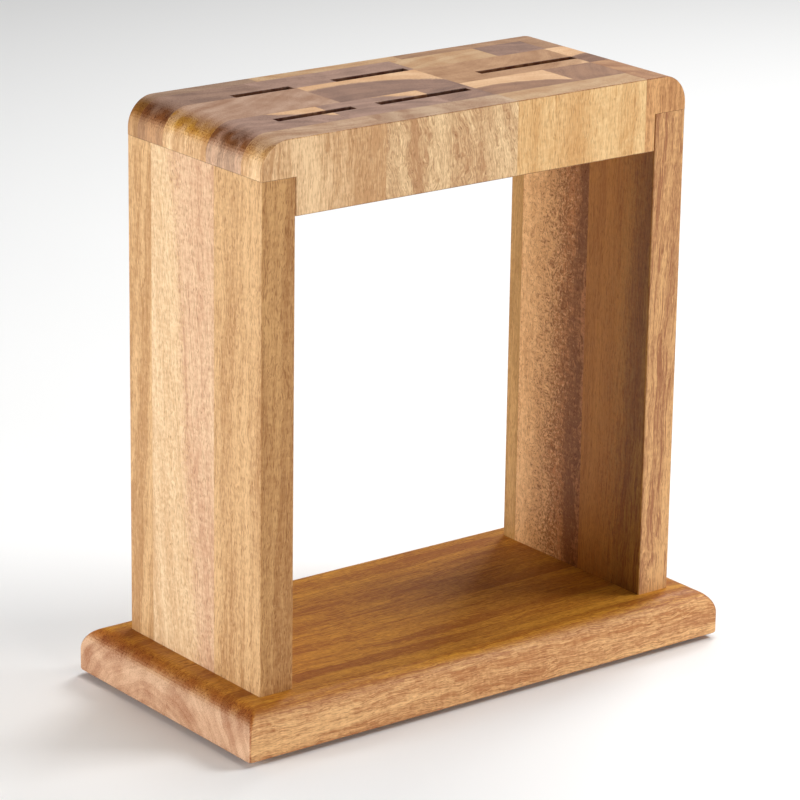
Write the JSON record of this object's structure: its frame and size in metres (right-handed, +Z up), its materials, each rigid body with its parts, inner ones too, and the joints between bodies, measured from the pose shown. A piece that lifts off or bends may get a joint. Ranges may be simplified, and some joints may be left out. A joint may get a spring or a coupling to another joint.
{
  "type": "open-frame knife block",
  "caption": "Open wooden frame on a rounded base board; its thick end-grain top has through slots, and blades hang freely between the two legs.",
  "frame": {"origin": "on the worktop, under the middle of the base board", "axes": "+X along the block and the longest side of the base, to the right seen from the front; +Y from the front to the back, the shortest side; +Z up"},
  "size_m": [0.25, 0.125, 0.252],
  "materials": {
    "end_grain_wood": "oiled end grain, satin",
    "leg_wood": "oiled long grain, satin",
    "base_wood": "oiled long grain, satin",
    "foot_silicone": "clear silicone, soft gloss",
    "dowel_beech": "bare beech",
    "screw_steel": "zinc plated"
  },
  "bodies": {
    "root": {"top_front_1": "end_grain_wood", "top_front_2": "end_grain_wood", "top_front_3": "end_grain_wood", "top_front_4": "end_grain_wood", "top_front_middle_1": "end_grain_wood", "top_front_middle_2": "end_grain_wood", "top_front_middle_3": "end_grain_wood", "top_front_middle_4": "end_grain_wood", "top_front_middle_5": "end_grain_wood", "top_front_middle_6": "end_grain_wood", "top_middle_1": "end_grain_wood", "top_middle_2": "end_grain_wood", "top_middle_3": "end_grain_wood", "top_middle_4": "end_grain_wood", "top_back_middle_1": "end_grain_wood", "top_back_middle_2": "end_grain_wood", "top_back_middle_3": "end_grain_wood", "top_back_middle_4": "end_grain_wood", "top_back_middle_5": "end_grain_wood", "top_back_1": "end_grain_wood", "top_back_2": "end_grain_wood", "top_back_3": "end_grain_wood", "top_back_4": "end_grain_wood", "left_leg_front_stave": "leg_wood", "left_leg_middle_stave": "leg_wood", "left_leg_back_stave": "leg_wood", "right_leg_front_stave": "leg_wood", "right_leg_middle_stave": "leg_wood", "right_leg_back_stave": "leg_wood", "base_front_board": "base_wood", "base_back_board": "base_wood", "foot_left_front": "foot_silicone", "foot_left_back": "foot_silicone", "foot_right_front": "foot_silicone", "foot_right_back": "foot_silicone", "dowel_left_front": "dowel_beech", "dowel_left_back": "dowel_beech", "dowel_right_front": "dowel_beech", "dowel_right_back": "dowel_beech", "screw_left_front": "screw_steel", "screw_left_back": "screw_steel", "screw_right_front": "screw_steel", "screw_right_back": "screw_steel"}
  },
  "joints": []
}
